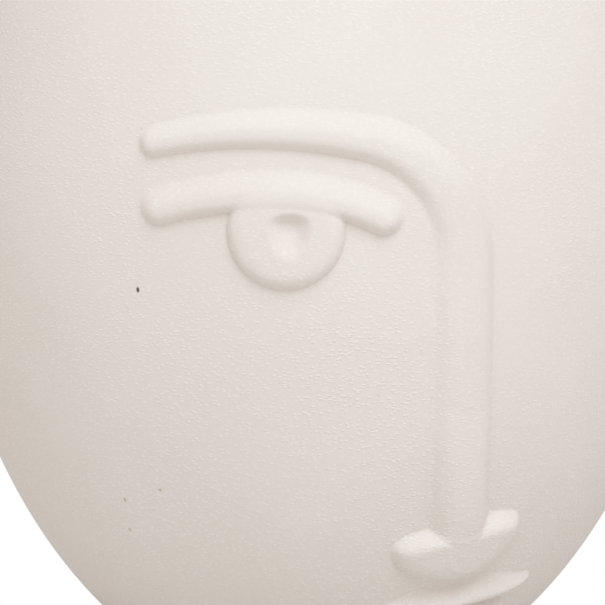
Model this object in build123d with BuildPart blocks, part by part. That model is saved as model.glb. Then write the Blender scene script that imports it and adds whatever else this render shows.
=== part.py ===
from build123d import *
from math import acos, asin, cos, degrees, radians, sin, sqrt
import os

# Face vase: an egg-shaped stoneware shell with a luted neck and foot ring, and a face of raised clay
# strokes on its front. Lengths are millimetres and angles are degrees. The vase stands on z = 0, its
# axis is Z and the front of its face looks along -Y.

# Body: the egg, its wall and the two flats where it is cut off
EGG_RADIUS = 100.0
EGG_HALF_HEIGHT = 144.6
WALL = 6.0
FLOOR_THICKNESS = 7.0
FOOT_SEAT_RADIUS = 40.0
NECK_SEAT_RADIUS = 42.0

# Foot ring under the body
FOOT_RING_HEIGHT = 4.5
FOOT_RING_WIDTH = 8.0
FOOT_RING_INSET = 1.5
FOOT_RING_ROUND = 1.2

# Neck, flared from the shoulder's own slope to a rounded rim
NECK_HEIGHT = 26.0
NECK_WALL = 6.0
RIM_INSET = 2.0
RIM_ROUND = 2.4

# Coat of glaze that makes the inside watertight
GLAZE_THICKNESS = 0.6

# Where the nose tip sits, turned to the right of the front, and how the tip and the lips tilt up to the right
FACE_TURN = 29.0
FACE_TILT = 9.0

# Lips and nose tip, stacked up the side of the body from the edge of its foot
CHIN_HEIGHT = 13.8
LOWER_LIP_HEIGHT = 9.0
LOWER_LIP_WIDTH = 32.0
LIP_GAP = 0.8
UPPER_LIP_HEIGHT = 9.0
UPPER_LIP_WIDTH = 41.0
LIP_CORNER_HEIGHT = 5.0
CUPID_PEAK_SPACING = 12.0
CUPID_DIP = 1.2
LIP_RISE = 4.0
PHILTRUM_HEIGHT = 3.6
NOSE_TIP_WIDTH = 36.5
NOSE_TIP_HEIGHT = 20.5
NOSE_WING_LEVEL = 11.0
NOSE_TIP_RISE = 6.5

# Nose and brow, one raised stroke: a straight nose, a bend at its top and a long shallow brow arch
NOSE_WIDTH = 12.0
NOSE_BEND_DROP = 24.0
NOSE_BEND_RADIUS = 30.0
NOSE_BEND_TURN = 80.5
BROW_RADIUS = 126.0
BROW_LENGTH = 51.5
BROW_END_WIDTH = 9.4
STROKE_RISE = 3.2

# Upper eyelid, a stroke hung below the brow, and the eye, a disc with a dished pupil tucked under it
EYELID_WIDTH = 10.5
EYELID_LENGTH = 56.0
EYELID_OVERHANG = 8.0
EYELID_GAP = 4.1
EYELID_CURL = 3.0
EYE_RADIUS = 14.7
EYE_DROP = 10.0
EYE_SET_BACK = 25.0
PUPIL_RADIUS = 6.5
PUPIL_DEPTH = 2.2

# Share of a raised piece's rise or width that its rounded edge may take
ROUND_OF_RISE = 0.55
ROUND_OF_WIDTH = 0.4
ROUND_OF_LIP_CORNER = 0.25

# Points that the line of an egg's side is drawn through
SIDE_POINTS = 7


def egg_line(grow, start_angle, end_angle):
    """Side of the egg, grown by some millimetres, between two angles seen from its centre."""
    radius = EGG_RADIUS + grow
    half_height = EGG_HALF_HEIGHT + grow
    step = (end_angle - start_angle) / (SIDE_POINTS - 1)
    angles = [radians(start_angle + step * count) for count in range(SIDE_POINTS)]
    points = [(radius * cos(angle), egg_centre_z + half_height * sin(angle)) for angle in angles]
    slopes = [(-radius * sin(angle), half_height * cos(angle)) for angle in (angles[0], angles[-1])]
    return Spline(points, tangents=slopes)


# Heights of the body's cuts and of the rim
foot_angle = -degrees(acos(FOOT_SEAT_RADIUS / EGG_RADIUS))
neck_angle = degrees(acos(NECK_SEAT_RADIUS / EGG_RADIUS))
egg_centre_z = FOOT_RING_HEIGHT - EGG_HALF_HEIGHT * sin(radians(foot_angle))
neck_seat_z = egg_centre_z + EGG_HALF_HEIGHT * sin(radians(neck_angle))
rim_z = neck_seat_z + NECK_HEIGHT
rim_round = min(RIM_ROUND, ROUND_OF_WIDTH * NECK_WALL)

# The side of the body in the radius and height plane, from the foot's edge up to the neck's edge
side = egg_line(0, foot_angle, neck_angle)

# The neck's outer line leaves the shoulder along its slope, and its bore keeps the same centre
neck_line = TangentArc(side @ 1, (NECK_SEAT_RADIUS - RIM_INSET, rim_z), tangent=side % 1)
neck_centre = neck_line.arc_center


def egg(grow):
    """The outside of the body as a solid, grown by some millimetres, with its seam at the back."""
    with BuildPart() as solid:
        with BuildSketch(Plane.YZ):
            with BuildLine():
                line = egg_line(grow, foot_angle, neck_angle)
                Polyline(line @ 1, (0, (line @ 1).Y), (0, (line @ 0).Y), line @ 0)
            make_face()
        revolve(axis=Axis.Z)
    return solid.part


def hollow_outline(coat):
    """Half outline of the space in the body and neck, inside a coat of some thickness on their walls."""
    floor_z = FOOT_RING_HEIGHT + FLOOR_THICKNESS + coat
    bore_radius = neck_line.radius + NECK_WALL + coat
    throat_radius = neck_centre.X - sqrt(bore_radius**2 - (neck_seat_z - neck_centre.Y) ** 2)
    mouth_radius = neck_centre.X - sqrt(bore_radius**2 - (rim_z - neck_centre.Y) ** 2)
    floor_angle = degrees(asin((floor_z - egg_centre_z) / (EGG_HALF_HEIGHT - WALL - coat)))
    throat_angle = degrees(acos(throat_radius / (EGG_RADIUS - WALL - coat)))
    with BuildSketch() as outline:
        with BuildLine():
            belly = egg_line(-WALL - coat, floor_angle, throat_angle)
            throat = Line(belly @ 1, (throat_radius, neck_seat_z))
            waist = (neck_centre.X - bore_radius, neck_centre.Y)
            bore = ThreePointArc(throat @ 1, waist, (mouth_radius, rim_z))
            Polyline(bore @ 1, (0, rim_z), (0, floor_z), belly @ 0)
        make_face()
    return outline.sketch


def face_plane(distance, turn):
    """Plane that touches the body a distance up its side from the foot, turned to the right of the front."""
    point = side.position_at(distance, PositionMode.LENGTH)
    slope = side.tangent_at(distance, PositionMode.LENGTH)
    front = Plane((0, -point.X, point.Y), x_dir=(1, 0, 0), z_dir=(0, -slope.Y, -slope.X))
    return Plane(Rot(0, 0, turn) * front.location * Rot(0, 0, FACE_TILT))


# Plane of the nose tip, the line of the nose seen from the front, and the plane of the mouth line, which
# is turned until the top of the upper lip comes straight under the nose
mouth_height = CHIN_HEIGHT + LOWER_LIP_HEIGHT + LIP_GAP
lip_top_height = mouth_height + UPPER_LIP_HEIGHT
nose_tip_plane = face_plane(lip_top_height + PHILTRUM_HEIGHT + NOSE_TIP_HEIGHT / 2, FACE_TURN)
nose_x = (nose_tip_plane.origin + nose_tip_plane.y_dir * NOSE_TIP_HEIGHT / 2).X
lip_top_radius = side.position_at(lip_top_height, PositionMode.LENGTH).X
mouth_plane = face_plane(mouth_height, degrees(asin(nose_x / lip_top_radius)))

# The straight of the nose, and the arch of the brow that its bend leads into
nose_foot_z = nose_tip_plane.origin.Z
nose_bend_z = egg_centre_z - NOSE_BEND_DROP
bend_centre = Vector(nose_x - NOSE_BEND_RADIUS, nose_bend_z)
brow_centre = bend_centre - Vector(BROW_RADIUS - NOSE_BEND_RADIUS, 0).rotate(Axis.Z, NOSE_BEND_TURN)
brow_turn = degrees(BROW_LENGTH / BROW_RADIUS)

# Depth that the outlines of the front view are drawn out to, well past the faces of the strokes
front_reach = EGG_RADIUS + 2 * STROKE_RISE


def under_brow(radius, angle):
    """Point of the front view at a radius and an angle about the centre of the brow's arch."""
    return brow_centre + Vector(radius, 0).rotate(Axis.Z, angle)


# The eyelid follows the brow's arch and curls down at its inner end, and the eye hangs from it
brow_half_width = (NOSE_WIDTH + BROW_END_WIDTH) / 4
eyelid_radius = BROW_RADIUS - brow_half_width - EYELID_GAP - EYELID_WIDTH / 2
eyelid_start = NOSE_BEND_TURN - degrees(EYELID_OVERHANG / eyelid_radius)
eyelid_turn = degrees(EYELID_LENGTH / eyelid_radius)
eyelid_line = ThreePointArc(
    under_brow(eyelid_radius - EYELID_CURL, eyelid_start),
    under_brow(eyelid_radius, eyelid_start + eyelid_turn / 2),
    under_brow(eyelid_radius, eyelid_start + eyelid_turn),
)
eye_centre = under_brow(eyelid_radius - EYE_DROP, eyelid_start + degrees(EYE_SET_BACK / eyelid_radius))

# The pupil is a dish cut by a ball, square to the eye's outer face, with the ball's poles off the dish
eye_face_radius = EGG_RADIUS + STROKE_RISE
eye_face_half_height = EGG_HALF_HEIGHT + STROKE_RISE
across = eye_centre.X / eye_face_radius
along = (eye_centre.Y - egg_centre_z) / eye_face_half_height
out = sqrt(1 - across**2 - along**2)
pupil_plane = Plane(
    (eye_centre.X, -out * eye_face_radius, eye_centre.Y),
    z_dir=(across / eye_face_radius, -out / eye_face_radius, along / eye_face_half_height),
)
pupil_ball_radius = (PUPIL_RADIUS**2 + PUPIL_DEPTH**2) / (2 * PUPIL_DEPTH)


def outer_edges(piece):
    """The edges round a raised piece's outer face, which is the one furthest from the egg's centre."""
    faces = piece.faces().filter_by(GeomType.REVOLUTION)
    return faces.sort_by_distance((0, 0, egg_centre_z))[-1].edges()


def edge_round(rise, width):
    """Radius that the outer edge of a raised piece can take."""
    return min(ROUND_OF_RISE * rise, ROUND_OF_WIDTH * width)


lip_round = min(ROUND_OF_RISE * LIP_RISE, ROUND_OF_LIP_CORNER * LIP_CORNER_HEIGHT)


# Shell of the body, cut flat under the neck and over the foot ring, and open into the neck
with BuildPart() as body:
    with BuildSketch(Plane.XZ):
        with BuildLine():
            add(side)
            Polyline(side @ 1, (0, neck_seat_z), (0, FOOT_RING_HEIGHT), side @ 0)
        make_face()
        add(hollow_outline(0), mode=Mode.SUBTRACT)
    revolve(axis=Axis.Z)
body.part.label = "body"

# Neck, seated on the flat of the shoulder
with BuildPart() as neck:
    with BuildSketch(Plane.XZ):
        with BuildLine():
            add(neck_line)
            Polyline(neck_line @ 1, (0, rim_z), (0, neck_seat_z), neck_line @ 0)
        make_face()
        add(hollow_outline(0), mode=Mode.SUBTRACT)
    revolve(axis=Axis.Z)
    fillet(neck.edges().group_by(Axis.Z)[-1], rim_round)
neck.part.label = "neck"

# Foot ring, seated under the flat of the body
with BuildPart() as foot_ring:
    with BuildSketch(Plane.XY):
        Circle(FOOT_SEAT_RADIUS - FOOT_RING_INSET)
        Circle(FOOT_SEAT_RADIUS - FOOT_RING_INSET - FOOT_RING_WIDTH, mode=Mode.SUBTRACT)
    extrude(amount=FOOT_RING_HEIGHT)
    fillet(foot_ring.edges().group_by(Axis.Z)[0], FOOT_RING_ROUND)
foot_ring.part.label = "foot_ring"

# Glaze on the inside of the body and neck, up to where the rim starts to round over
with BuildPart() as inner_glaze:
    with BuildSketch(Plane.XZ):
        add(hollow_outline(0))
        add(hollow_outline(GLAZE_THICKNESS), mode=Mode.SUBTRACT)
        with Locations((0, rim_z - rim_round)):
            Rectangle(EGG_RADIUS, NECK_HEIGHT, align=Align.MIN, mode=Mode.SUBTRACT)
    revolve(axis=Axis.Z)
inner_glaze.part.label = "inner_glaze"

# Lower lip, full in the middle and drawn in to its round ends, below the mouth line
with BuildPart() as lower_lip:
    with BuildSketch(mouth_plane):
        with BuildLine():
            lip_top = Line((-LOWER_LIP_WIDTH / 2, -LIP_GAP), (LOWER_LIP_WIDTH / 2, -LIP_GAP))
            right_end = JernArc(lip_top @ 1, (1, 0), LIP_CORNER_HEIGHT / 2, -180)
            left_end = JernArc(lip_top @ 0, (-1, 0), LIP_CORNER_HEIGHT / 2, 180)
            lip_bottom = (0, -LIP_GAP - LOWER_LIP_HEIGHT)
            Spline(right_end @ 1, lip_bottom, left_end @ 1, tangents=(right_end % 1, -(left_end % 1)))
        make_face()
    extrude(amount=LOWER_LIP_WIDTH / 2, both=True)
    add(egg(LIP_RISE), mode=Mode.INTERSECT)
    add(egg(0), mode=Mode.SUBTRACT)
    fillet(outer_edges(lower_lip), lip_round)
lower_lip.part.label = "lower_lip"

# Upper lip, with a shallow double peak over the middle of the mouth line
with BuildPart() as upper_lip:
    with BuildSketch(mouth_plane):
        with BuildLine():
            mouth_line = Line((-UPPER_LIP_WIDTH / 2, 0), (UPPER_LIP_WIDTH / 2, 0))
            right_end = JernArc(mouth_line @ 1, (1, 0), LIP_CORNER_HEIGHT / 2, 180)
            left_end = JernArc(mouth_line @ 0, (-1, 0), LIP_CORNER_HEIGHT / 2, -180)
            right_peak = (CUPID_PEAK_SPACING / 2, UPPER_LIP_HEIGHT)
            left_peak = (-CUPID_PEAK_SPACING / 2, UPPER_LIP_HEIGHT)
            dip = (0, UPPER_LIP_HEIGHT - CUPID_DIP)
            ends = (right_end % 1, -(left_end % 1))
            Spline(right_end @ 1, right_peak, dip, left_peak, left_end @ 1, tangents=ends)
        make_face()
    extrude(amount=UPPER_LIP_WIDTH / 2, both=True)
    add(egg(LIP_RISE), mode=Mode.INTERSECT)
    add(egg(0), mode=Mode.SUBTRACT)
    fillet(outer_edges(upper_lip), lip_round)
upper_lip.part.label = "upper_lip"

# Nose tip, half an ellipse below, with two square-shouldered wings beside the nose above
with BuildPart() as nose_tip:
    with BuildSketch(nose_tip_plane):
        with BuildLine():
            wing_y = NOSE_WING_LEVEL - NOSE_TIP_HEIGHT / 2
            wing_radius = NOSE_TIP_HEIGHT - NOSE_WING_LEVEL
            under = EllipticalCenterArc((0, wing_y), NOSE_TIP_WIDTH / 2, NOSE_WING_LEVEL, 180, arc_size=180)
            right_wing = JernArc(under @ 1, (0, 1), wing_radius, 90)
            left_wing = JernArc(under @ 0, (0, 1), wing_radius, -90)
            Line(left_wing @ 1, right_wing @ 1)
        make_face()
    extrude(amount=NOSE_TIP_WIDTH / 2, both=True)
    add(egg(NOSE_TIP_RISE), mode=Mode.INTERSECT)
    add(egg(0), mode=Mode.SUBTRACT)
    fillet(outer_edges(nose_tip), edge_round(NOSE_TIP_RISE, NOSE_TIP_HEIGHT))
nose_tip.part.label = "nose_tip"

# Nose and brow in one stroke, from inside the nose tip's outline to the outer end of the brow
with BuildPart() as brow_nose_ridge:
    with BuildSketch(Plane.XZ):
        with BuildLine():
            right_side = Line((nose_x + NOSE_WIDTH / 2, nose_foot_z), (nose_x + NOSE_WIDTH / 2, nose_bend_z))
            right_bend = JernArc(right_side @ 1, (0, 1), NOSE_BEND_RADIUS + NOSE_WIDTH / 2, NOSE_BEND_TURN)
            brow_top = JernArc(right_bend @ 1, right_bend % 1, BROW_RADIUS + NOSE_WIDTH / 2, brow_turn)
            left_side = Line((nose_x - NOSE_WIDTH / 2, nose_foot_z), (nose_x - NOSE_WIDTH / 2, nose_bend_z))
            left_bend = JernArc(left_side @ 1, (0, 1), NOSE_BEND_RADIUS - NOSE_WIDTH / 2, NOSE_BEND_TURN)
            brow_end = JernArc(brow_top @ 1, brow_top % 1, BROW_END_WIDTH / 2, 180)
            Spline(left_bend @ 1, brow_end @ 1, tangents=(left_bend % 1, -(brow_end % 1)))
            Line(left_side @ 0, right_side @ 0)
        make_face()
    extrude(amount=front_reach)
    add(egg(STROKE_RISE), mode=Mode.INTERSECT)
    add(egg(0), mode=Mode.SUBTRACT)
    fillet(outer_edges(brow_nose_ridge), edge_round(STROKE_RISE, BROW_END_WIDTH))
    add(nose_tip.part, mode=Mode.SUBTRACT)
brow_nose_ridge.part.label = "brow_nose_ridge"

# Upper eyelid, a stroke of even width with round ends
with BuildPart() as upper_eyelid:
    with BuildSketch(Plane.XZ):
        SlotArc(eyelid_line, EYELID_WIDTH)
    extrude(amount=front_reach)
    add(egg(STROKE_RISE), mode=Mode.INTERSECT)
    add(egg(0), mode=Mode.SUBTRACT)
    fillet(outer_edges(upper_eyelid), edge_round(STROKE_RISE, EYELID_WIDTH))
upper_eyelid.part.label = "upper_eyelid"

# Eye, a disc with a dished pupil, kept where it is under the middle of the lid and outside its side
with BuildPart() as eye:
    with BuildSketch(Plane.XZ):
        with Locations(eye_centre):
            Circle(EYE_RADIUS)
    extrude(amount=front_reach)
    add(egg(STROKE_RISE), mode=Mode.INTERSECT)
    add(egg(0), mode=Mode.SUBTRACT)
    fillet(outer_edges(eye), edge_round(STROKE_RISE, EYE_RADIUS))
    with Locations(pupil_plane.offset(pupil_ball_radius - PUPIL_DEPTH)):
        Sphere(pupil_ball_radius, rotation=(90, 0, 0), mode=Mode.SUBTRACT)
    with BuildSketch(Plane.XZ):
        with Locations(brow_centre):
            Circle(eyelid_radius)
        SlotArc(eyelid_line, EYELID_WIDTH, mode=Mode.SUBTRACT)
    extrude(amount=front_reach, mode=Mode.INTERSECT)
eye.part.label = "eye"

os.makedirs("parts", exist_ok=True)
for piece in (
    body, neck, foot_ring, inner_glaze, brow_nose_ridge, upper_eyelid, eye, nose_tip, upper_lip, lower_lip
):
    export_step(piece.part, f"parts/{piece.part.label}.step")
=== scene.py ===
from collections import namedtuple
from math import acos, asin, atan2, cos, pi, radians, sin, sqrt, tan

import bpy
import numpy as np
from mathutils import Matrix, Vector, geometry


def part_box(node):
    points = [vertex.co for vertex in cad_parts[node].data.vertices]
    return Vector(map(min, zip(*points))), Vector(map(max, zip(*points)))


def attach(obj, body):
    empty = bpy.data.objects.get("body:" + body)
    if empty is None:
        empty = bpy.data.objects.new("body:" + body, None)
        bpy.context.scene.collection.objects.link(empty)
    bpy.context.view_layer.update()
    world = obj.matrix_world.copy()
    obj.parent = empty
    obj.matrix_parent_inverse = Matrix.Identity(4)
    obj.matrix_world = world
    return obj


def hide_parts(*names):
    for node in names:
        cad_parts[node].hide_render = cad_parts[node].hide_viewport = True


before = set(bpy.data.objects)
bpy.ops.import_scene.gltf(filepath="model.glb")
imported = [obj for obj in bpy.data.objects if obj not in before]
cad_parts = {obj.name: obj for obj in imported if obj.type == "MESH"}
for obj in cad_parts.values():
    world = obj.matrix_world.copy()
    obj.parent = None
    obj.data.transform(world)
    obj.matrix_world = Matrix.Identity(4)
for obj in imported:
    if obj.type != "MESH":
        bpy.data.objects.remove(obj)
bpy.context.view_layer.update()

# The vase stands on z = 0 with its face towards -Y. Lengths are millimetres until a mesh, lamp or
# texture is made, which is in metres. Named angles are degrees.
MM = 0.001

# Smallest divisor, to keep divisions away from zero
TINY = 0.001

# Body: an egg of revolution, cut flat over the foot ring and under the neck
EGG_RADIUS = 100.0
EGG_HALF_HEIGHT = 144.6
WALL = 6.0
FLOOR_THICKNESS = 7.0
FOOT_SEAT_RADIUS = 40.0
FOOT_EDGE_ROUND = 0.9
GLAZE_THICKNESS = 0.6
GLAZE_EDGE_THICKNESS = 0.06

# Foot ring and neck
FOOT_RING_WIDTH = 8.0
FOOT_RING_ROUND = 1.4
NECK_WALL = 6.0
RIM_INSET = 2.0

# Nose tip and lips: the tip is turned to the right of the front, the lips lie under it, and both tilt up
# to the right. Their heights and places are distances up the side of the body from the foot. The higher
# the power, the nearer to its corners a lip stays full. Squareness 2 is an ellipse, and more is squarer.
FACE_TURN = 29.5
NOSE_TIP_TILT = 15.0
MOUTH_TILT = 16.0
CHIN_HEIGHT = 18.0
LOWER_LIP_HEIGHT = 9.0
LOWER_LIP_WIDTH = 32.0
LOWER_LIP_CREST = 3.0
LIP_GAP = 0.8
UPPER_LIP_HEIGHT = 9.6
UPPER_LIP_WIDTH = 47.0
UPPER_LIP_CREST = 5.0
LIP_CORNER_WIDTH = 1.6
LIP_CORNER_DROP = 5.5
LIP_CORNER_POWER = 3
CUPID_PEAK_SPACING = 12.0
CUPID_DIP = 1.2
NOSE_TIP_PLACE = 48.1
NOSE_TIP_WIDTH = 35.7
NOSE_TIP_SHIFT = -0.8
NOSE_TIP_HEIGHT = 19.0
NOSE_WING_LEVEL = 12.8
NOSE_WING_SQUARENESS = 2.1
ELLIPSE = 2.0

# Nose and brow, one stroke in the front view
NOSE_BEND_DROP = 24.0
NOSE_BEND_RADIUS = 30.0
NOSE_BEND_TURN = 80.5
NOSE_SWELL_LENGTH = 36.0
NOSE_WIDTH = 12.0
NOSE_FOOT_SHIFT = 0.9
BROW_RADIUS = 126.0
BROW_LENGTH = 51.5
BROW_END_WIDTH = 9.4

# Eyelid and eye, in the front view
EYELID_WIDTH = 10.5
EYELID_LENGTH = 56.0
EYELID_OVERHANG = 8.0
EYELID_GAP = 4.1
EYELID_CURL = 3.0
EYE_RADIUS = 14.7
EYE_REACH_ABOVE = 13.0
EYE_DROP = 10.0
EYE_SET_BACK = 24.5

# Pupil: a dish pressed deepest near its top, with a short upper wall and a long lower one, both as soft
# as the upper side of the brow
PUPIL_DEPTH = 3.05
PUPIL_SHIFT = (1.0, 1.3)
PUPIL_HALF_WIDTH = 5.8
PUPIL_REACH_ABOVE = 3.5
PUPIL_REACH_BELOW = 9.0

# How high the raised pieces stand over the wall
BROW_RISE = 3.4
BROW_END_RISE = 2.6
NOSE_RISE = 2.4
NOSE_FOOT_RISE = 4.5
NOSE_TIP_RISE = 4.4
EYE_RISE = 3.1
LIP_RISE = 4.7
LIP_CORNER_RISE = 1.3

# Sides of the raised pieces: the width from crest to wall, how long the top stays flat (power) and how
# softly the side runs out into the wall (ease)
Side = namedtuple("Side", "width power ease")
NOSE_FOOT_LEFT = Side(8.4, 3.4, 2.1)
NOSE_FOOT_RIGHT = Side(7.8, 3.4, 1.8)
NOSE_LEFT = Side(8.0, 4.0, 2.0)
NOSE_RIGHT = Side(7.2, 4.0, 1.5)
BROW_UNDER = Side(4.9, 3.2, 1.1)
BROW_TOP = Side(7.1, 2.0, 2.0)
BROW_END_UNDER = Side(3.7, 3.2, 1.1)
BROW_END_TOP = Side(4.6, 2.0, 2.0)
EYELID_UNDER = Side(4.1, 3.2, 1.1)
EYELID_TOP = Side(EYELID_WIDTH - EYELID_UNDER.width, 2.0, 2.0)
EYE_BELOW = Side(EYE_RADIUS, 10.0, 1.0)
EYE_ABOVE = Side(EYE_REACH_ABOVE, 4.0, 1.0)
NOSE_WING_TOP = Side(NOSE_TIP_HEIGHT - NOSE_WING_LEVEL, 2.0, 2.0)
NOSE_UNDER = Side(NOSE_WING_LEVEL, 7.0, 1.1)
LIP_OUTSIDE = Side(UPPER_LIP_HEIGHT - UPPER_LIP_CREST, 2.0, 1.8)
LIP_INSIDE = Side(LOWER_LIP_CREST, 3.0, 1.1)

# How raised pieces run into each other: the corner between their sides is filled, which fades where both
# are high. Their edges hide in the wall by a skirt, and under a neighbour by an underlap.
JOIN_BLEND = 2.0
JOIN_FADE_FROM = 3.2
JOIN_FADE_TO = 4.4
SKIRT = 3.0
SKIRT_DROP = 0.06
UNDERLAP = 0.16
UNDERLAP_REACH = 2.0
BED = 0.5

# Fineness of the meshes
RELIEF_STEP = 0.45
OUTLINE_STEP = 0.5
LINE_POINTS = 90
UP_SIDE_ROWS = 2000
NEAREST_CHUNK = 2000
LATHE_SEGMENTS = 240
SIDE_ROWS = 170
INNER_ROWS = 60
NECK_ROWS = 40
CORNER_ROWS = 8
SHARP_ANGLE = 50.0

# Triangulation: rows of even triangles, what counts as one point, and the kind that fills an outline
TRIANGLE_ROW = RELIEF_STEP * sqrt(3) / 2
SAME_POINT = 0.00001
FILL_OUTLINE = 1

# Places that follow from the frame and from the sizes above
body_low, body_high = (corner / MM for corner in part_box("body"))
ring_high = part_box("foot_ring")[1] / MM
neck_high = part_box("neck")[1] / MM
foot_z = body_low.z
neck_seat_z = body_high.z
rim_z = neck_high.z
neck_seat_radius = neck_high.x
foot_angle = -acos(FOOT_SEAT_RADIUS / EGG_RADIUS)
neck_angle = acos(neck_seat_radius / EGG_RADIUS)
egg_centre = np.array([0, 0, foot_z - EGG_HALF_HEIGHT * sin(foot_angle)])
egg_scale = 1 / np.array([EGG_RADIUS, EGG_RADIUS, EGG_HALF_HEIGHT])


def arc(centre, radius, start, end, count):
    """Points along an arc, from one angle in radians to another."""
    angles = np.linspace(start, end, count)
    return np.column_stack([centre[0] + radius * np.cos(angles), centre[1] + radius * np.sin(angles)])


def egg_side(grow, start, end, count):
    """Radius and height points along the side of the egg, grown by some millimetres."""
    angles = np.linspace(start, end, count)
    radii = (EGG_RADIUS + grow) * np.cos(angles)
    return np.column_stack([radii, egg_centre[2] + (EGG_HALF_HEIGHT + grow) * np.sin(angles)])


def make_piece(name, points, faces, slot, material):
    """A smooth mesh object in metres that stands for the node of its name."""
    mesh = bpy.data.meshes.new(name)
    mesh.from_pydata((np.asarray(points) * MM).tolist(), [], faces)
    mesh.materials.append(material)
    mesh.shade_smooth()
    mesh.set_sharp_from_angle(angle=radians(SHARP_ANGLE))
    piece = bpy.data.objects.new(name, mesh)
    bpy.context.scene.collection.objects.link(piece)
    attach(piece, "root")
    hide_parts(name)


def lathe(outline, closed):
    """Points and faces of an outline of radius and height points, turned about Z."""
    turns = np.linspace(0, 2 * pi, LATHE_SEGMENTS, endpoint=False)
    points = []
    rings = []
    for radius, height in outline:
        angles = turns if radius > 0 else turns[:1]
        rings.append(np.arange(len(angles)) + len(points))
        points.extend((radius * cos(angle), radius * sin(angle), height) for angle in angles)
    pairs = list(zip(rings, rings[1:] + rings[:1]))
    faces = []
    for lower, upper in pairs if closed else pairs[:-1]:
        for index in range(LATHE_SEGMENTS):
            after = (index + 1) % LATHE_SEGMENTS
            corners = [lower[index % len(lower)], lower[after % len(lower)]]
            corners += [upper[after % len(upper)], upper[index % len(upper)]]
            face = list(dict.fromkeys(int(corner) for corner in corners))
            if len(face) > 2:
                faces.append(face)
    return points, faces


# The neck's outer line leaves the shoulder along its slope and bends out again to the rim
shoulder_slope = np.array([-EGG_RADIUS * sin(neck_angle), EGG_HALF_HEIGHT * cos(neck_angle)])
shoulder_slope /= np.linalg.norm(shoulder_slope)
neck_start = np.array([neck_seat_radius, neck_seat_z])
rim_step = np.array([-RIM_INSET, rim_z - neck_seat_z])
neck_side = np.array([shoulder_slope[1], -shoulder_slope[0]])
neck_radius = rim_step @ rim_step / (2 * rim_step @ neck_side)
neck_centre = neck_start + neck_side * neck_radius


def neck_angle_at(radius, height):
    """Angle, seen from the centre of the neck's bend, at which a line of some radius has a height."""
    return pi - asin((height - neck_centre[1]) / radius)


def hollow_side(coat):
    """Radius and height points of the inside, from the middle of the floor up to the neck's seat."""
    floor_z = foot_z + FLOOR_THICKNESS + coat
    bore = neck_radius + NECK_WALL + coat
    throat = neck_centre[0] + bore * cos(neck_angle_at(bore, neck_seat_z))
    floor_angle = asin((floor_z - egg_centre[2]) / (EGG_HALF_HEIGHT - WALL - coat))
    throat_angle = acos(throat / (EGG_RADIUS - WALL - coat))
    belly = egg_side(-WALL - coat, floor_angle, throat_angle, INNER_ROWS)
    return np.vstack([(0, floor_z), belly, (throat, neck_seat_z)])


def bore_side(coat, top):
    """Radius and height points of the bore, from the neck's seat up to some height."""
    bore = neck_radius + NECK_WALL + coat
    return arc(neck_centre, bore, neck_angle_at(bore, neck_seat_z), neck_angle_at(bore, top), NECK_ROWS)


def body_outline():
    """Outside of the egg with its rounded foot edge, and its inside, from axis to axis."""
    side = egg_side(0, foot_angle, neck_angle, SIDE_ROWS)
    slope = atan2(side[1, 1] - side[0, 1], side[1, 0] - side[0, 0])
    centre = (side[0, 0] - FOOT_EDGE_ROUND * tan(slope / 2), foot_z + FOOT_EDGE_ROUND)
    edge = arc(centre, FOOT_EDGE_ROUND, -pi / 2, slope - pi / 2, CORNER_ROWS)
    above = side[side[:, 1] > edge[-1, 1]]
    return np.vstack([(0, foot_z), edge, above, hollow_side(0)[::-1]])


def neck_outline():
    """Wall of the neck with a round rim, closed along its seat."""
    middle = neck_radius + NECK_WALL / 2
    bore = neck_radius + NECK_WALL
    rim_angle = neck_angle_at(middle, rim_z - NECK_WALL / 2)
    rim_centre = neck_centre + middle * np.array([cos(rim_angle), sin(rim_angle)])
    outside = arc(neck_centre, neck_radius, neck_angle_at(neck_radius, neck_seat_z), rim_angle, NECK_ROWS)
    rim = arc(rim_centre, NECK_WALL / 2, rim_angle - pi, rim_angle - 2 * pi, 2 * CORNER_ROWS)
    inside = arc(neck_centre, bore, rim_angle, neck_angle_at(bore, neck_seat_z), NECK_ROWS)
    return np.vstack([outside, rim[1:-1], inside])


def foot_ring_outline():
    """Ring with two rounded lower edges."""
    outer = ring_high.x
    inner = outer - FOOT_RING_WIDTH
    left = arc((inner + FOOT_RING_ROUND, FOOT_RING_ROUND), FOOT_RING_ROUND, -pi, -pi / 2, CORNER_ROWS)
    right = arc((outer - FOOT_RING_ROUND, FOOT_RING_ROUND), FOOT_RING_ROUND, -pi / 2, 0, CORNER_ROWS)
    return np.vstack([(inner, foot_z), left, right, (outer, foot_z)])


def glaze_outline():
    """Coat on the inside, thinned out to its edge just under the rim, from axis to axis."""
    glaze_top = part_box("inner_glaze")[1].z / MM
    wall_side = np.vstack([hollow_side(0), bore_side(0, glaze_top)[1:]])
    coat_side = np.vstack([hollow_side(GLAZE_THICKNESS), bore_side(GLAZE_THICKNESS, glaze_top)[1:]])
    thin = wall_side[-1] + (coat_side[-1] - wall_side[-1]) * GLAZE_EDGE_THICKNESS / GLAZE_THICKNESS
    return np.vstack([wall_side, thin, coat_side[:-2][::-1]])


# A view is a plane that a piece of the face is drawn on, and the way that it is laid on the egg. A sprig
# is a raised piece: its outline in a view, and a function for its height over the egg at flat points.
View = namedtuple("View", "origin across up out")
Sprig = namedtuple("Sprig", "name view outline height")
FRONT = View(np.zeros(3), np.array([1.0, 0, 0]), np.array([0, 0, 1.0]), np.array([0, -1.0, 0]))


def turned(vector, turn):
    """A vector turned about Z by an angle in radians."""
    x, y, z = vector
    return np.array([x * cos(turn) - y * sin(turn), x * sin(turn) + y * cos(turn), z])


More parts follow.
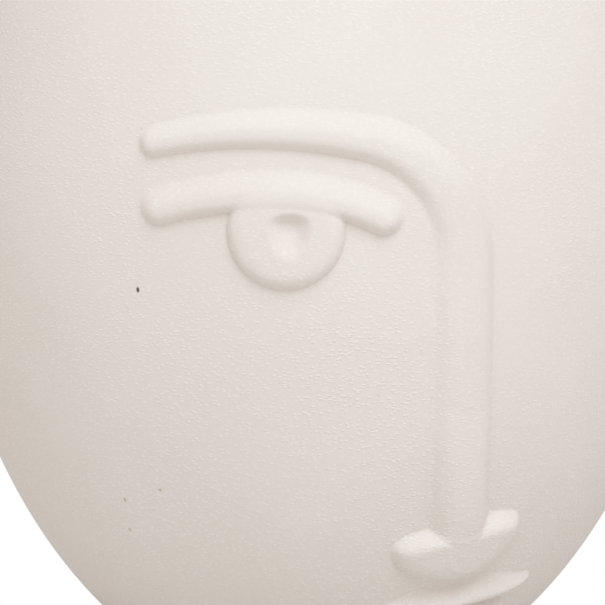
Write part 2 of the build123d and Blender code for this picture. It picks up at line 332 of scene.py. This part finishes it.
def up_side(distance):
    """Radius and height, and the slope, a distance up the side of the egg from the foot."""
    side = egg_side(0, foot_angle, neck_angle, UP_SIDE_ROWS)
    lengths = path_lengths(side)
    index = int(np.searchsorted(lengths, distance))
    step = side[index + 1] - side[index]
    return side[index], step / np.linalg.norm(step)


def face_view(distance, turn, tilt):
    """Plane that touches the egg a distance up its side, turned to the right of the front and tilted."""
    (radius, height), (run, climb) = up_side(distance)
    across = np.array([1.0, 0, 0])
    up = np.array([0, -run, climb])
    return View(
        turned((0, -radius, height), turn),
        turned(across * cos(tilt) + up * sin(tilt), turn),
        turned(up * cos(tilt) - across * sin(tilt), turn),
        turned((0, -climb, -run), turn),
    )


def on_egg(view, flat):
    """Points of the egg's surface under points of a view."""
    base = view.origin + flat[:, :1] * view.across + flat[:, 1:] * view.up
    start = (base - egg_centre) * egg_scale
    step = view.out * egg_scale
    along = start @ step
    square = step @ step
    reach = (np.sqrt(along**2 - square * ((start**2).sum(1) - 1)) - along) / square
    return base + reach[:, None] * view.out


def egg_normals(points):
    """Outward directions of the egg's surface."""
    return unit((points - egg_centre) * egg_scale**2)


def flat_in(view, points):
    """Points as they are seen in a view."""
    relative = points - view.origin
    return np.column_stack([relative @ view.across, relative @ view.up])


def unit(vectors):
    """Vectors brought to length one."""
    return vectors / np.linalg.norm(vectors, axis=1)[:, None]


def to_left(vectors):
    """Flat vectors turned a quarter to the left."""
    return np.column_stack([-vectors[:, 1], vectors[:, 0]])


def path_lengths(path):
    """Length along a path up to each of its points."""
    return np.concatenate([[0], np.cumsum(np.linalg.norm(np.diff(path, axis=0), axis=1))])


def closed_loop(outline):
    """An outline with its first point again at its end."""
    return np.vstack([outline, outline[:1]])


def even_loop(corners):
    """A closed outline with its points spread evenly along it."""
    loop = closed_loop(corners)
    lengths = path_lengths(loop)
    spots = np.linspace(0, lengths[-1], int(lengths[-1] / OUTLINE_STEP), endpoint=False)
    return np.column_stack([np.interp(spots, lengths, loop[:, axis]) for axis in (0, 1)])


def nearest_on(path, points):
    """The nearest piece of a path to each point, the share along it, and the way from there to the point."""
    edges = np.diff(path, axis=0)
    squares = (edges**2).sum(1)
    indices = np.empty(len(points), int)
    shares = np.empty(len(points))
    ways = np.empty((len(points), 2))
    for first in range(0, len(points), NEAREST_CHUNK):
        chunk = slice(first, first + NEAREST_CHUNK)
        away = points[chunk, None] - path[:-1]
        share = np.clip((away * edges).sum(2) / squares, 0, 1)
        way = away - share[:, :, None] * edges
        index = (way**2).sum(2).argmin(1)
        rows = np.arange(len(index))
        indices[chunk] = index
        shares[chunk] = share[rows, index]
        ways[chunk] = way[rows, index]
    return indices, shares, ways


def inside_depth(outline, points):
    """How far points lie inside an outline drawn anticlockwise, negative outside it."""
    loop = closed_loop(outline)
    indices, _, ways = nearest_on(loop, points)
    inward = to_left(np.diff(loop, axis=0))[indices]
    return np.sign((ways * inward).sum(1)) * np.linalg.norm(ways, axis=1)


def smooth_step(low, high, values):
    """Zero up to low, one from high, and smooth between."""
    share = np.clip((values - low) / (high - low), 0, 1)
    return share**2 * (3 - 2 * share)


def swell(share):
    """One at zero, nothing from one on, and smooth between."""
    return (1 + np.cos(pi * np.clip(np.abs(share), 0, 1))) / 2


def fall(share, power, ease):
    """Height of a side, from one at the crest to nothing at the wall."""
    return np.clip(1 - share**power, 0, 1) ** ease


def sides_along(places, sides, along):
    """Sides of a stroke that change evenly from place to place along it."""
    return np.column_stack([np.interp(along, places, column) for column in np.array(sides).T])


def stroke(name, view, crest, rise, left, right):
    """A sprig along a crest line, with its own sides to the left and right, and round ends."""
    ahead = unit(np.gradient(crest, axis=0))
    aside = to_left(ahead)

    def height(flat):
        """Height at flat points, from the nearest place on the crest."""
        index, share, way = nearest_on(crest, flat)

        def here(values):
            return (values[index].T * (1 - share) + values[index + 1].T * share).T

        distance = np.linalg.norm(way, axis=1)
        lean = (way * here(aside)).sum(1) / np.maximum(distance, TINY)
        leftness = (1 + lean) / 2
        width, power, ease = here(left).T * leftness + here(right).T * (1 - leftness)
        return here(rise) * fall(distance / width, power, ease)

    def end(index, start):
        """Half a turn of outline round one end of the crest."""
        turns = np.linspace(start, start + pi, 2 * CORNER_ROWS)[:, None]
        leftness = (1 + np.sin(turns)) / 2
        reach = left[index, 0] * leftness + right[index, 0] * (1 - leftness)
        return crest[index] + reach * (np.cos(turns) * ahead[index] + np.sin(turns) * aside[index])

    right_edge = crest - aside * right[:, :1]
    left_edge = crest + aside * left[:, :1]
    loop = np.vstack([right_edge[1:-1], end(-1, -pi / 2), left_edge[-2:0:-1], end(0, pi / 2)])
    return Sprig(name, view, even_loop(loop), height)


def pillow(name, view, centre, half_width, above, below, squareness, rise):
    """A sprig that falls to all sides from its centre, with its own side and squareness above it."""

    def height(flat):
        """Height at flat points, by their share of the way out from the centre."""
        x, y = (flat - centre).T
        bend = np.where(y > 0, squareness, ELLIPSE)
        share_across = np.abs(x) / half_width
        share_up = np.abs(y) / np.where(y > 0, above.width, below.width)
        share = (share_across**bend + share_up**bend) ** (1 / bend)
        upness = np.where(y > 0, share_up / np.maximum(share, TINY), 0) ** 2
        power = below.power + (above.power - below.power) * upness
        ease = below.ease + (above.ease - below.ease) * upness
        return rise * fall(share, power, ease)

    turns = np.linspace(0, 2 * pi, 2 * LINE_POINTS, endpoint=False)
    across, up = np.cos(turns), np.sin(turns)
    bend = np.where(up > 0, ELLIPSE / squareness, 1)
    x = half_width * np.sign(across) * np.abs(across) ** bend
    y = np.where(up > 0, above.width, below.width) * np.sign(up) * np.abs(up) ** bend
    return Sprig(name, view, even_loop(centre + np.column_stack([x, y])), height)


# Planes of the nose tip and of the mouth line, which is turned until the top of the upper lip comes
# straight under the nose
mouth_height = CHIN_HEIGHT + LOWER_LIP_HEIGHT + LIP_GAP
lip_top_height = mouth_height + UPPER_LIP_HEIGHT
nose_tip_view = face_view(NOSE_TIP_PLACE, radians(FACE_TURN), radians(NOSE_TIP_TILT))
nose_x = (nose_tip_view.origin + nose_tip_view.up * NOSE_TIP_HEIGHT / 2)[0]
mouth_turn = asin(nose_x / up_side(lip_top_height)[0][0])
mouth_view = face_view(mouth_height, mouth_turn, radians(MOUTH_TILT))

# The straight of the nose, its bend, the arch of the brow and the arch of the eyelid under it
nose_foot_z = nose_tip_view.origin[2]
nose_bend_z = egg_centre[2] - NOSE_BEND_DROP
bend_turn = radians(NOSE_BEND_TURN)
bend_centre = np.array([nose_x - NOSE_BEND_RADIUS, nose_bend_z])
brow_centre = bend_centre - (BROW_RADIUS - NOSE_BEND_RADIUS) * np.array([cos(bend_turn), sin(bend_turn)])
brow_mean_width = (NOSE_WIDTH + BROW_END_WIDTH) / 2
eyelid_radius = BROW_RADIUS - brow_mean_width / 2 - EYELID_GAP - EYELID_WIDTH / 2
eyelid_start = bend_turn - EYELID_OVERHANG / eyelid_radius


def under_brow(radii, angles):
    """Points of the front view at radii and angles about the centre of the brow's arch."""
    return brow_centre + np.column_stack([radii * np.cos(angles), radii * np.sin(angles)])


eye_centre = under_brow(eyelid_radius - EYE_DROP, eyelid_start + EYE_SET_BACK / eyelid_radius)[0]
pupil_centre = eye_centre + np.array(PUPIL_SHIFT)


def ridge_sprig():
    """Nose and brow in one stroke: soft on both sides along the nose, crisp under the brow."""
    straight = np.linspace(nose_foot_z, nose_bend_z, LINE_POINTS)
    nose = np.column_stack([np.full(LINE_POINTS, nose_x), straight])
    bend = arc(bend_centre, NOSE_BEND_RADIUS, 0, bend_turn, LINE_POINTS)
    brow_turn = BROW_LENGTH / BROW_RADIUS
    brow = under_brow(BROW_RADIUS, np.linspace(bend_turn, bend_turn + brow_turn, LINE_POINTS))
    line = np.vstack([nose[:-1], bend[:-1], brow])
    along = path_lengths(line)
    brow_start = nose_bend_z - nose_foot_z + NOSE_BEND_RADIUS * bend_turn
    places = (NOSE_TIP_HEIGHT / 2, NOSE_SWELL_LENGTH, nose_bend_z - nose_foot_z, brow_start, along[-1])
    left = sides_along(places, (NOSE_FOOT_LEFT, NOSE_LEFT, NOSE_LEFT, BROW_UNDER, BROW_END_UNDER), along)
    right = sides_along(places, (NOSE_FOOT_RIGHT, NOSE_RIGHT, NOSE_RIGHT, BROW_TOP, BROW_END_TOP), along)
    rise = np.interp(along, places, (NOSE_FOOT_RISE, NOSE_RISE, NOSE_RISE, BROW_RISE, BROW_END_RISE))
    start_shift = NOSE_WIDTH / 2 - BROW_UNDER.width
    end_shift = BROW_END_WIDTH - NOSE_WIDTH / 2 - BROW_END_UNDER.width
    shifts = (NOSE_FOOT_SHIFT, 0, 0, start_shift, end_shift)
    crest = line + to_left(unit(np.gradient(line, axis=0))) * np.interp(along, places, shifts)[:, None]
    return stroke("brow_nose_ridge", FRONT, crest, rise, left, right)


def eyelid_sprig():
    """Stroke under the brow's arch, curled down at its inner end, and crisp along its lower edge."""
    share = np.linspace(0, 1, LINE_POINTS)
    curl = EYELID_CURL * np.clip(1 - 2 * share, 0, 1) ** 2
    crest_drop = (EYELID_TOP.width - EYELID_UNDER.width) / 2
    angles = eyelid_start + share * EYELID_LENGTH / eyelid_radius
    crest = under_brow(eyelid_radius - crest_drop - curl, angles)
    left, right = (np.tile(side, (LINE_POINTS, 1)) for side in (EYELID_UNDER, EYELID_TOP))
    rise = BROW_RISE - (BROW_RISE - BROW_END_RISE) * share
    return stroke("upper_eyelid", FRONT, crest, rise, left, right)


def pupil_dish(flat):
    """Depth of the pupil's dish at points of the front view."""
    x, y = (flat - pupil_centre).T
    reach = np.where(y > 0, PUPIL_REACH_ABOVE, PUPIL_REACH_BELOW)
    share = np.hypot(x / PUPIL_HALF_WIDTH, y / reach)
    return PUPIL_DEPTH * fall(share, BROW_TOP.power, BROW_TOP.ease)


def eye_sprig():
    """A disc that runs up under the eyelid, with the pupil's dish in it."""
    disc = pillow("eye", FRONT, eye_centre, EYE_RADIUS, EYE_ABOVE, EYE_BELOW, ELLIPSE, EYE_RISE)
    return disc._replace(height=lambda flat: disc.height(flat) - pupil_dish(flat))


def nose_tip_sprig():
    """Half an ellipse below, and a shorter, squarer top whose ends are the wings beside the nose."""
    centre = np.array([NOSE_TIP_SHIFT, NOSE_WING_LEVEL - NOSE_TIP_HEIGHT / 2])
    sides = (NOSE_TIP_WIDTH / 2, NOSE_WING_TOP, NOSE_UNDER)
    return pillow("nose_tip", nose_tip_view, centre, *sides, NOSE_WING_SQUARENESS, NOSE_TIP_RISE)


def lip_sprig(name, width, crest_height, outside_widths, outside_is_left):
    """A lip along the mouth line, from right to left, crisp towards the mouth and soft away from it."""
    across = np.linspace(width / 2, -width / 2, LINE_POINTS)
    corner = np.abs(2 * across / width) ** LIP_CORNER_POWER
    rise = LIP_RISE - (LIP_RISE - LIP_CORNER_RISE) * corner
    drop = LIP_CORNER_DROP * (2 * across / UPPER_LIP_WIDTH) ** 2
    crest = np.column_stack([across, crest_height - drop])
    outside = np.tile(LIP_OUTSIDE, (LINE_POINTS, 1))
    outside[:, 0] = outside_widths(across)
    inside = np.tile(LIP_INSIDE, (LINE_POINTS, 1))
    inside[:, 0] -= (LIP_INSIDE.width - LIP_CORNER_WIDTH) * corner
    left, right = (outside, inside) if outside_is_left else (inside, outside)
    return stroke(name, mouth_view, crest, rise, left, right)


def upper_lip_widths(across):
    """Width of the upper lip over its crest: a double peak, falling to the corners."""
    peak = CUPID_PEAK_SPACING / 2
    corner_share = (np.abs(across) - peak) / (UPPER_LIP_WIDTH / 2 - peak)
    full = (LIP_OUTSIDE.width - LIP_CORNER_WIDTH) * swell(np.maximum(corner_share, 0))
    return LIP_CORNER_WIDTH + full - CUPID_DIP * swell(across / peak)


def lower_lip_widths(across):
    """Width of the lower lip under its crest, full in the middle."""
    full = (LOWER_LIP_HEIGHT - LOWER_LIP_CREST - LIP_CORNER_WIDTH) * swell(2 * across / LOWER_LIP_WIDTH)
    return LIP_CORNER_WIDTH + full


def soft_max(first, second):
    """The larger of two heights, with the corner between their sides filled, but not over level tops."""
    overlap = np.maximum(JOIN_BLEND - np.abs(first - second), 0)
    lower = np.minimum(first, second)
    fill = smooth_step(0, JOIN_BLEND, lower) - smooth_step(JOIN_FADE_FROM, JOIN_FADE_TO, lower)
    return np.maximum(first, second) + fill * overlap**2 / (4 * JOIN_BLEND)


def relief(sprigs, points):
    """Height of the joined sprigs over points of the egg."""
    height = np.zeros(len(points))
    for sprig in sprigs:
        height = soft_max(height, sprig.height(flat_in(sprig.view, points)))
    return height


def mesh_points(sprig):
    """Flat points of a sprig's mesh: the edge of its skirt, its outline and an even field between them."""
    ahead = np.roll(sprig.outline, -1, axis=0) - np.roll(sprig.outline, 1, axis=0)
    edge = even_loop(sprig.outline - to_left(unit(ahead)) * SKIRT)
    low, high = edge.min(0), edge.max(0)
    rows = np.arange(low[1], high[1], TRIANGLE_ROW)
    columns = np.arange(low[0], high[0], RELIEF_STEP)
    offsets = RELIEF_STEP / 2 * (np.arange(len(rows)) % 2)
    grid = np.array([(x + offset, y) for y, offset in zip(rows, offsets) for x in columns])
    clear_of_edge = inside_depth(edge, grid) > RELIEF_STEP / 2
    clear_of_outline = np.abs(inside_depth(sprig.outline, grid)) > RELIEF_STEP / 2
    return edge, np.vstack([edge, sprig.outline, grid[clear_of_edge & clear_of_outline]])


def make_sprig(sprig, over, under, material):
    """A sprig as a closed piece, bedded in the wall, that laps over some neighbours and under others."""
    edge, flat = mesh_points(sprig)
    count = len(edge)
    loop = [(index, (index + 1) % count) for index in range(count)]
    spots = [Vector(spot) for spot in flat]
    flat, _, triangles, *_ = geometry.delaunay_2d_cdt(spots, loop, [], FILL_OUTLINE, SAME_POINT)
    flat = np.array([tuple(spot) for spot in flat])
    base = on_egg(sprig.view, flat)
    normals = egg_normals(base)
    height = relief([sprig, *over, *under], base)
    height -= SKIRT_DROP * smooth_step(0, SKIRT, -inside_depth(sprig.outline, flat))
    for other in under:
        depth = inside_depth(other.outline, flat_in(other.view, base))
        height -= UNDERLAP * smooth_step(-UNDERLAP_REACH, UNDERLAP_REACH, depth)
    top = base + normals * height[:, None]
    bottom = base - normals * BED
    size = len(flat)
    faces = [list(face) for face in triangles]
    faces += [[corner + size for corner in reversed(face)] for face in triangles]
    faces += [[after, before, before + size, after + size] for before, after in loop]
    make_piece(sprig.name, np.vstack([top, bottom]), faces, "bisque", material)


# Clay and glaze colours, in linear light
CLAY = (0.800, 0.738, 0.695, 1)
CLAY_WARM = (0.780, 0.712, 0.664, 1)
CLAY_PALE = (0.825, 0.775, 0.735, 1)
# Colour of the grains: pale sand, made paler still as a painted highlight for the light the grains catch
SAND_AND_HIGHLIGHT_COLOUR = (0.93, 0.90, 0.87, 1)
SPECK_COLOUR = (0.09, 0.08, 0.045, 1)
RUST_COLOUR = (0.60, 0.47, 0.35, 1)
GLAZE_COLOUR = (0.80, 0.77, 0.72, 1)
GLAZE_SHADE = (0.74, 0.70, 0.64, 1)

# Noise: about the width of its marks, how many finer layers it has, and the range that most of it is in
Noise = namedtuple("Noise", "size detail")
NOISE_LOW = 0.3
NOISE_HIGH = 0.7

# Texture of the clay: slow mottle, pale dust, fine powder, and flat grains of sand in some of the cells of
# a scatter, most of them in patches
MOTTLE = Noise(38.0, 3.0)
DUST = Noise(1.1, 4.0)
DUST_FROM = 0.5
DUST_PALENESS = 0.5
POWDER = Noise(0.7, 2.0)
POWDER_SHARE = 0.22
PATCHES = Noise(55.0, 1.0)
LEAST_SAND = 0.15
GRAIN_CELL = 1.35
GRAIN_FLATNESS = 2.0
GRAIN_SHARE = 0.6
GRAIN_RADIUS = 0.7
# How far the grains are painted towards their pale colour, partly pale sand and partly painted highlight
GRAIN_PALENESS_AND_HIGHLIGHT = 0.75
BUMP_HEIGHT = 0.16
BUMP_STRENGTH = 1.0
CLAY_ROUGHNESS = (0.82, 0.94)
CLAY_SPECULAR = 0.25

# Texture of the glaze
POOLS = Noise(30.0, 2.0)
RIPPLE = Noise(14.0, 1.0)
RIPPLE_HEIGHT = 0.6
RIPPLE_STRENGTH = 0.25
GLAZE_ROUGHNESS = (0.1, 0.2)


def add_node(tree, kind, **values):
    """A node with some of its inputs set by name, with underscores for spaces."""
    node = tree.nodes.new(kind)
    for name, value in values.items():
        node.inputs[name.replace("_", " ")].default_value = value
    return node


def pick(sockets, identifier):
    """The socket with an identifier, on a node where several share a name."""
    return next(socket for socket in sockets if socket.identifier == identifier)


def noise(tree, place, kind):
    """Noise of a kind, from zero to one."""
    node = add_node(tree, "ShaderNodeTexNoise", Scale=1 / (kind.size * MM), Detail=kind.detail)
    tree.links.new(place, node.inputs["Vector"])
    return node.outputs["Fac"]


def remap(tree, value, from_low, from_high, to_low, to_high):
    """A value moved from one range to another, and held inside it."""
    limits = {"From_Min": from_low, "From_Max": from_high, "To_Min": to_low, "To_Max": to_high}
    node = add_node(tree, "ShaderNodeMapRange", **limits)
    tree.links.new(value, node.inputs["Value"])
    return node.outputs["Result"]


def spread(tree, value, low, high):
    """Noise stretched from the range that most of it is in to another range."""
    return remap(tree, value, NOISE_LOW, NOISE_HIGH, low, high)


def combine(tree, operation, first, second):
    """Arithmetic on a value and another value or a number."""
    node = tree.nodes.new("ShaderNodeMath")
    node.operation = operation
    tree.links.new(first, node.inputs[0])
    if isinstance(second, (int, float)):
        node.inputs[1].default_value = second
    else:
        tree.links.new(second, node.inputs[1])
    return node.outputs["Value"]


def change_vector(tree, operation, vector, amount):
    """A vector with each of its parts changed by a fixed amount."""
    node = tree.nodes.new("ShaderNodeVectorMath")
    node.operation = operation
    node.inputs[1].default_value = amount
    tree.links.new(vector, node.inputs[0])
    return node.outputs["Vector"]


def vector_length(tree, vector):
    """Length of a vector."""
    node = tree.nodes.new("ShaderNodeVectorMath")
    node.operation = "LENGTH"
    tree.links.new(vector, node.inputs[0])
    return node.outputs["Value"]


def mix_colour(tree, factor, first, second):
    """A colour or a fixed colour, going over to another by a factor."""
    node = tree.nodes.new("ShaderNodeMix")
    node.data_type = "RGBA"
    tree.links.new(factor, pick(node.inputs, "Factor_Float"))
    for identifier, colour in (("A_Color", first), ("B_Color", second)):
        socket = pick(node.inputs, identifier)
        if isinstance(colour, tuple):
            socket.default_value = colour
        else:
            tree.links.new(colour, socket)
    return pick(node.outputs, "Result_Color")


def add_bump(tree, shader, height, strength, distance):
    """A surface that stands out by a height map of some millimetres."""
    bump = add_node(tree, "ShaderNodeBump", Strength=strength, Distance=distance * MM)
    tree.links.new(height, bump.inputs["Height"])
    tree.links.new(bump.outputs["Normal"], shader.inputs["Normal"])


def new_material(name):
    """A material with its tree, its shader and the place of a point on the object."""
    material = bpy.data.materials.new(name)
    material.use_nodes = True
    tree = material.node_tree
    shader = tree.nodes["Principled BSDF"]
    place = tree.nodes.new("ShaderNodeTexCoord").outputs["Object"]
    return material, tree, shader, place


# Small spots that show on the front, the first dark and the others rust coloured: place in the front view,
# half width and half height, colour
SPECKS = (
    ((-44.3, 104.6), (0.42, 0.75), SPECK_COLOUR),
    ((-48.3, 50.6), (0.35, 0.9), RUST_COLOUR),
    ((-39.3, 53.8), (0.5, 0.4), RUST_COLOUR),
    ((-47.2, 42.6), (0.3, 1.6), RUST_COLOUR),
)

# Where the soft edge of a speck begins and ends, as a share of its size
SPECK_CORE = 0.65
SPECK_EDGE = 1.2135

# Rusty specks in some of the cells of a scatter all over the clay
RUST_CELL = 26.0
RUST_RADIUS = 0.4
RUST_SHARE = 0.22


def speck_factor(tree, place, spot, half_size):
    """One inside a small oval on the front of the egg, falling to zero outside it."""
    centre = on_egg(FRONT, np.array([spot]))[0]
    width, height = half_size
    away = change_vector(tree, "SUBTRACT", place, centre * MM)
    share = change_vector(tree, "DIVIDE", away, (width * MM, width * MM, height * MM))
    return remap(tree, vector_length(tree, share), SPECK_CORE, SPECK_EDGE, 1.0, 0.0)


def scattered_spots(tree, place, cell, radius, core, share):
    """Round spots in some of the cells of a scatter, one in their core and falling to zero outside."""
    cells = add_node(tree, "ShaderNodeTexVoronoi", Scale=1 / (cell * MM))
    tree.links.new(place, cells.inputs["Vector"])
    reach = radius / cell
    spot = remap(tree, cells.outputs["Distance"], core * reach, reach, 1.0, 0.0)
    return combine(tree, "MULTIPLY", spot, combine(tree, "LESS_THAN", cells.outputs["Color"], share))


def bisque_material():
    """Matte sandy clay: mottled warm white, with flat grains of sand standing out in patches, painted pale
    partly as sand and partly as painted highlight, and specks.
    """
    material, tree, shader, place = new_material("bisque")
    flattened = change_vector(tree, "MULTIPLY", place, (1, 1, GRAIN_FLATNESS))
    grains = scattered_spots(tree, flattened, GRAIN_CELL, GRAIN_RADIUS, 0.0, GRAIN_SHARE)
    patches = spread(tree, noise(tree, place, PATCHES), LEAST_SAND, 1.0)
    sand = combine(tree, "MULTIPLY", grains, patches)
    mottle = spread(tree, noise(tree, place, MOTTLE), 0.0, 1.0)
    dust = remap(tree, noise(tree, place, DUST), DUST_FROM, NOISE_HIGH, 0.0, DUST_PALENESS)
    colour = mix_colour(tree, dust, mix_colour(tree, mottle, CLAY_WARM, CLAY), CLAY_PALE)
    # Grains painted pale: partly the sand's own colour, partly painted highlight standing for the light they
    # catch
    colour = mix_colour(tree, combine(tree, "MULTIPLY", sand, GRAIN_PALENESS_AND_HIGHLIGHT), colour, SAND_AND_HIGHLIGHT_COLOUR)
    rust = scattered_spots(tree, place, RUST_CELL, RUST_RADIUS, SPECK_CORE, RUST_SHARE)
    colour = mix_colour(tree, rust, colour, RUST_COLOUR)
    for spot, half_size, speck_colour in SPECKS:
        colour = mix_colour(tree, speck_factor(tree, place, spot, half_size), colour, speck_colour)
    tree.links.new(colour, shader.inputs["Base Color"])
    powder = noise(tree, place, POWDER)
    surface = combine(tree, "ADD", sand, combine(tree, "MULTIPLY", powder, POWDER_SHARE))
    add_bump(tree, shader, surface, BUMP_STRENGTH, BUMP_HEIGHT)
    tree.links.new(spread(tree, powder, *CLAY_ROUGHNESS), shader.inputs["Roughness"])
    shader.inputs["Specular IOR Level"].default_value = CLAY_SPECULAR
    return material


def glaze_material():
    """Clear gloss over the clay inside, a little deeper where it pooled, with a slow ripple."""
    material, tree, shader, place = new_material("liner_glaze")
    pooled = spread(tree, noise(tree, place, POOLS), 0.0, 1.0)
    tree.links.new(mix_colour(tree, pooled, GLAZE_COLOUR, GLAZE_SHADE), shader.inputs["Base Color"])
    ripple = noise(tree, place, RIPPLE)
    add_bump(tree, shader, ripple, RIPPLE_STRENGTH, RIPPLE_HEIGHT)
    tree.links.new(spread(tree, ripple, *GLAZE_ROUGHNESS), shader.inputs["Roughness"])
    return material


# Stage: a pale floor that turns to plain white away from the foot, and soft light all round
FLOOR_HALF = 4000.0
FLOOR_COLOUR = (0.77, 0.75, 0.73, 1)
FLOOR_ROUGHNESS = 0.9
FLOOR_WHITE_FROM = 120.0
FLOOR_WHITE_TO = 172.0
WHITE = (1, 1, 1, 1)
SKY_COLOUR = (1.02, 0.985, 0.95, 1)
SKY_LEVEL = 0.75
KEY_PLACE = (310.0, -1420.0, 1420.0)
KEY_SIZE = 1400.0
KEY_COLOUR = (0.87, 1.0, 1.08)
KEY_POWER = 16.4

# Camera: far off, a little above the middle of the body, looking slightly down
CAMERA_PLACE = (-3.7, -1400.2, 170.3)
CAMERA_DIP = 3.0
CAMERA_LENS = 317.4
SENSOR_WIDTH = 36.0


def seen_directly(tree):
    """One for rays from the camera, from gloss and through glass, and zero for light on the object."""
    rays = tree.nodes.new("ShaderNodeLightPath")
    seen = combine(tree, "MAXIMUM", rays.outputs["Is Camera Ray"], rays.outputs["Is Glossy Ray"])
    return combine(tree, "MAXIMUM", seen, rays.outputs["Is Transmission Ray"])


def mix_shaders(tree, factor, first, second, output):
    """One shader going over to another by a factor, on the way to the tree's output."""
    mix = tree.nodes.new("ShaderNodeMixShader")
    tree.links.new(factor, mix.inputs["Fac"])
    tree.links.new(first.outputs[0], mix.inputs[1])
    tree.links.new(second.outputs[0], mix.inputs[2])
    tree.links.new(mix.outputs["Shader"], tree.nodes[output].inputs["Surface"])


def make_floor():
    """A wide floor with the vase's shadow near the foot, plain white further off."""
    mesh = bpy.data.meshes.new("floor")
    corners = [(-1, -1, 0), (1, -1, 0), (1, 1, 0), (-1, 1, 0)]
    mesh.from_pydata([Vector(corner) * FLOOR_HALF * MM for corner in corners], [], [(0, 1, 2, 3)])
    floor = bpy.data.objects.new("floor", mesh)
    bpy.context.scene.collection.objects.link(floor)
    material, tree, shader, place = new_material("floor")
    shader.inputs["Base Color"].default_value = FLOOR_COLOUR
    shader.inputs["Roughness"].default_value = FLOOR_ROUGHNESS
    far = remap(tree, vector_length(tree, place), FLOOR_WHITE_FROM * MM, FLOOR_WHITE_TO * MM, 0.0, 1.0)
    white = add_node(tree, "ShaderNodeEmission", Color=WHITE)
    mix_shaders(tree, combine(tree, "MULTIPLY", far, seen_directly(tree)), shader, white, "Material Output")
    mesh.materials.append(material)


def make_sky():
    """Even light from all sides, with white behind the object."""
    world = bpy.data.worlds.new("studio")
    bpy.context.scene.world = world
    world.use_nodes = True
    tree = world.node_tree
    light = tree.nodes["Background"]
    light.inputs["Color"].default_value = SKY_COLOUR
    light.inputs["Strength"].default_value = SKY_LEVEL
    white = add_node(tree, "ShaderNodeBackground", Color=WHITE)
    mix_shaders(tree, seen_directly(tree), light, white, "World Output")


def make_key():
    """One large soft lamp above and in front, a little to the right."""
    lamp = bpy.data.lights.new("key", "AREA")
    lamp.shape = "DISK"
    lamp.size = KEY_SIZE * MM
    lamp.energy = KEY_POWER
    lamp.color = KEY_COLOUR
    key = bpy.data.objects.new("key", lamp)
    bpy.context.scene.collection.objects.link(key)
    key.location = Vector(KEY_PLACE) * MM
    aim = Vector(egg_centre) - Vector(KEY_PLACE)
    key.rotation_euler = aim.to_track_quat("-Z", "Y").to_euler()


def make_camera():
    """The camera at the photograph's angle."""
    lens = bpy.data.cameras.new("camera")
    lens.lens = CAMERA_LENS
    lens.sensor_width = SENSOR_WIDTH
    camera = bpy.data.objects.new("camera", lens)
    bpy.context.scene.collection.objects.link(camera)
    camera.location = Vector(CAMERA_PLACE) * MM
    camera.rotation_euler = (radians(90 - CAMERA_DIP), 0, 0)
    bpy.context.scene.camera = camera


bisque = bisque_material()
glaze = glaze_material()
make_piece("body", *lathe(body_outline(), closed=False), "bisque", bisque)
make_piece("neck", *lathe(neck_outline(), closed=True), "bisque", bisque)
make_piece("foot_ring", *lathe(foot_ring_outline(), closed=True), "bisque", bisque)
make_piece("inner_glaze", *lathe(glaze_outline(), closed=False), "liner_glaze", glaze)

ridge = ridge_sprig()
nose_tip = nose_tip_sprig()
eyelid = eyelid_sprig()
eye = eye_sprig()
make_sprig(ridge, [], [nose_tip], bisque)
make_sprig(nose_tip, [ridge], [], bisque)
make_sprig(eyelid, [eye], [], bisque)
make_sprig(eye, [], [eyelid], bisque)
lower_crest = -LIP_GAP - LOWER_LIP_CREST
upper_lip = lip_sprig("upper_lip", UPPER_LIP_WIDTH, UPPER_LIP_CREST, upper_lip_widths, outside_is_left=False)
lower_lip = lip_sprig("lower_lip", LOWER_LIP_WIDTH, lower_crest, lower_lip_widths, outside_is_left=True)
make_sprig(upper_lip, [], [], bisque)
make_sprig(lower_lip, [], [], bisque)

make_floor()
make_sky()
make_key()
make_camera()
bpy.context.scene.view_settings.view_transform = "Standard"
